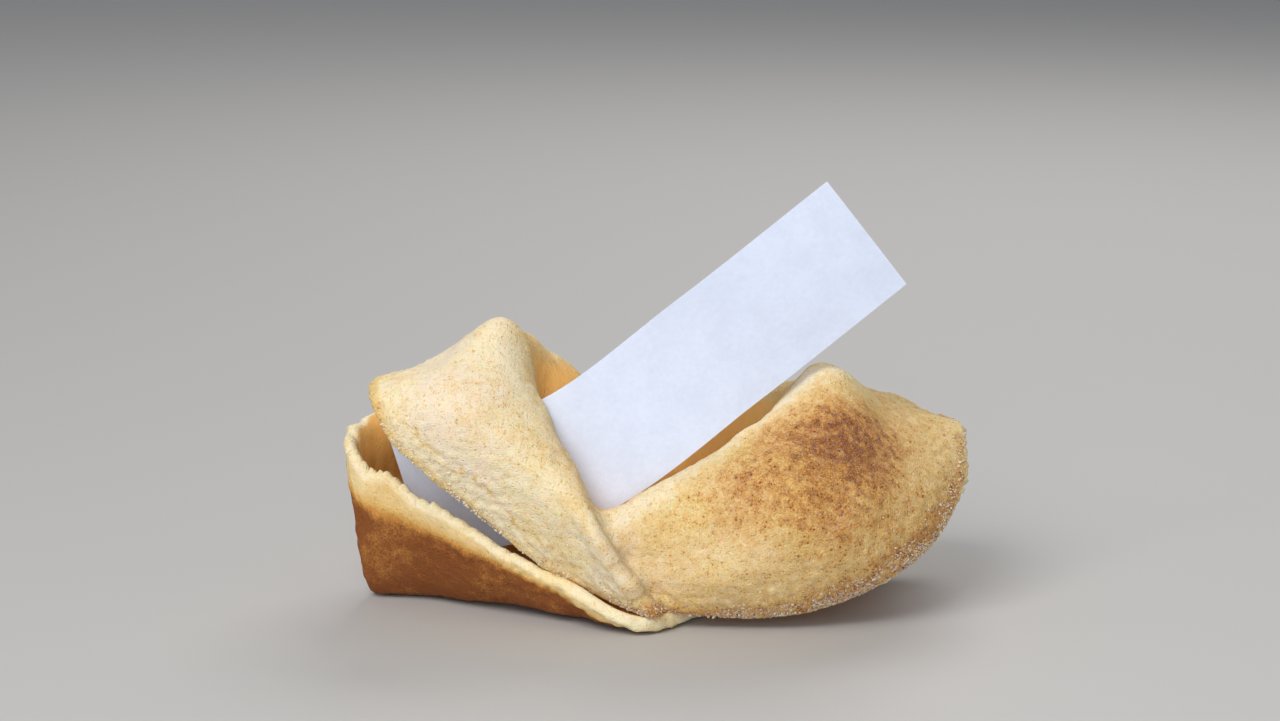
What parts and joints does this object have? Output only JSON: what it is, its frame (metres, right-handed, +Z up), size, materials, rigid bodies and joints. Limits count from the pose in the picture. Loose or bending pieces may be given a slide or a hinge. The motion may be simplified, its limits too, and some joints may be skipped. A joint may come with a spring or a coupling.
{
  "type": "fortune cookie",
  "caption": "Folded crisp wafer cookie with two hollow lobes either side of a deep dent, and a blank slip of paper that stands up out of the dent.",
  "frame": {"origin": "centre of the footprint of the whole part, on the surface that it rests on", "axes": "+X along the fold from the left lobe to the right lobe, +Z up, front (the side the dent's near wall faces) at -Y"},
  "size_m": [0.0708, 0.0352, 0.048],
  "materials": {
    "baked_wafer": "matte, finely pored, golden",
    "paper": "matte, faint fibre"
  },
  "bodies": {
    "root": {"cookie": "baked_wafer", "paper_slip": "paper"}
  },
  "joints": []
}
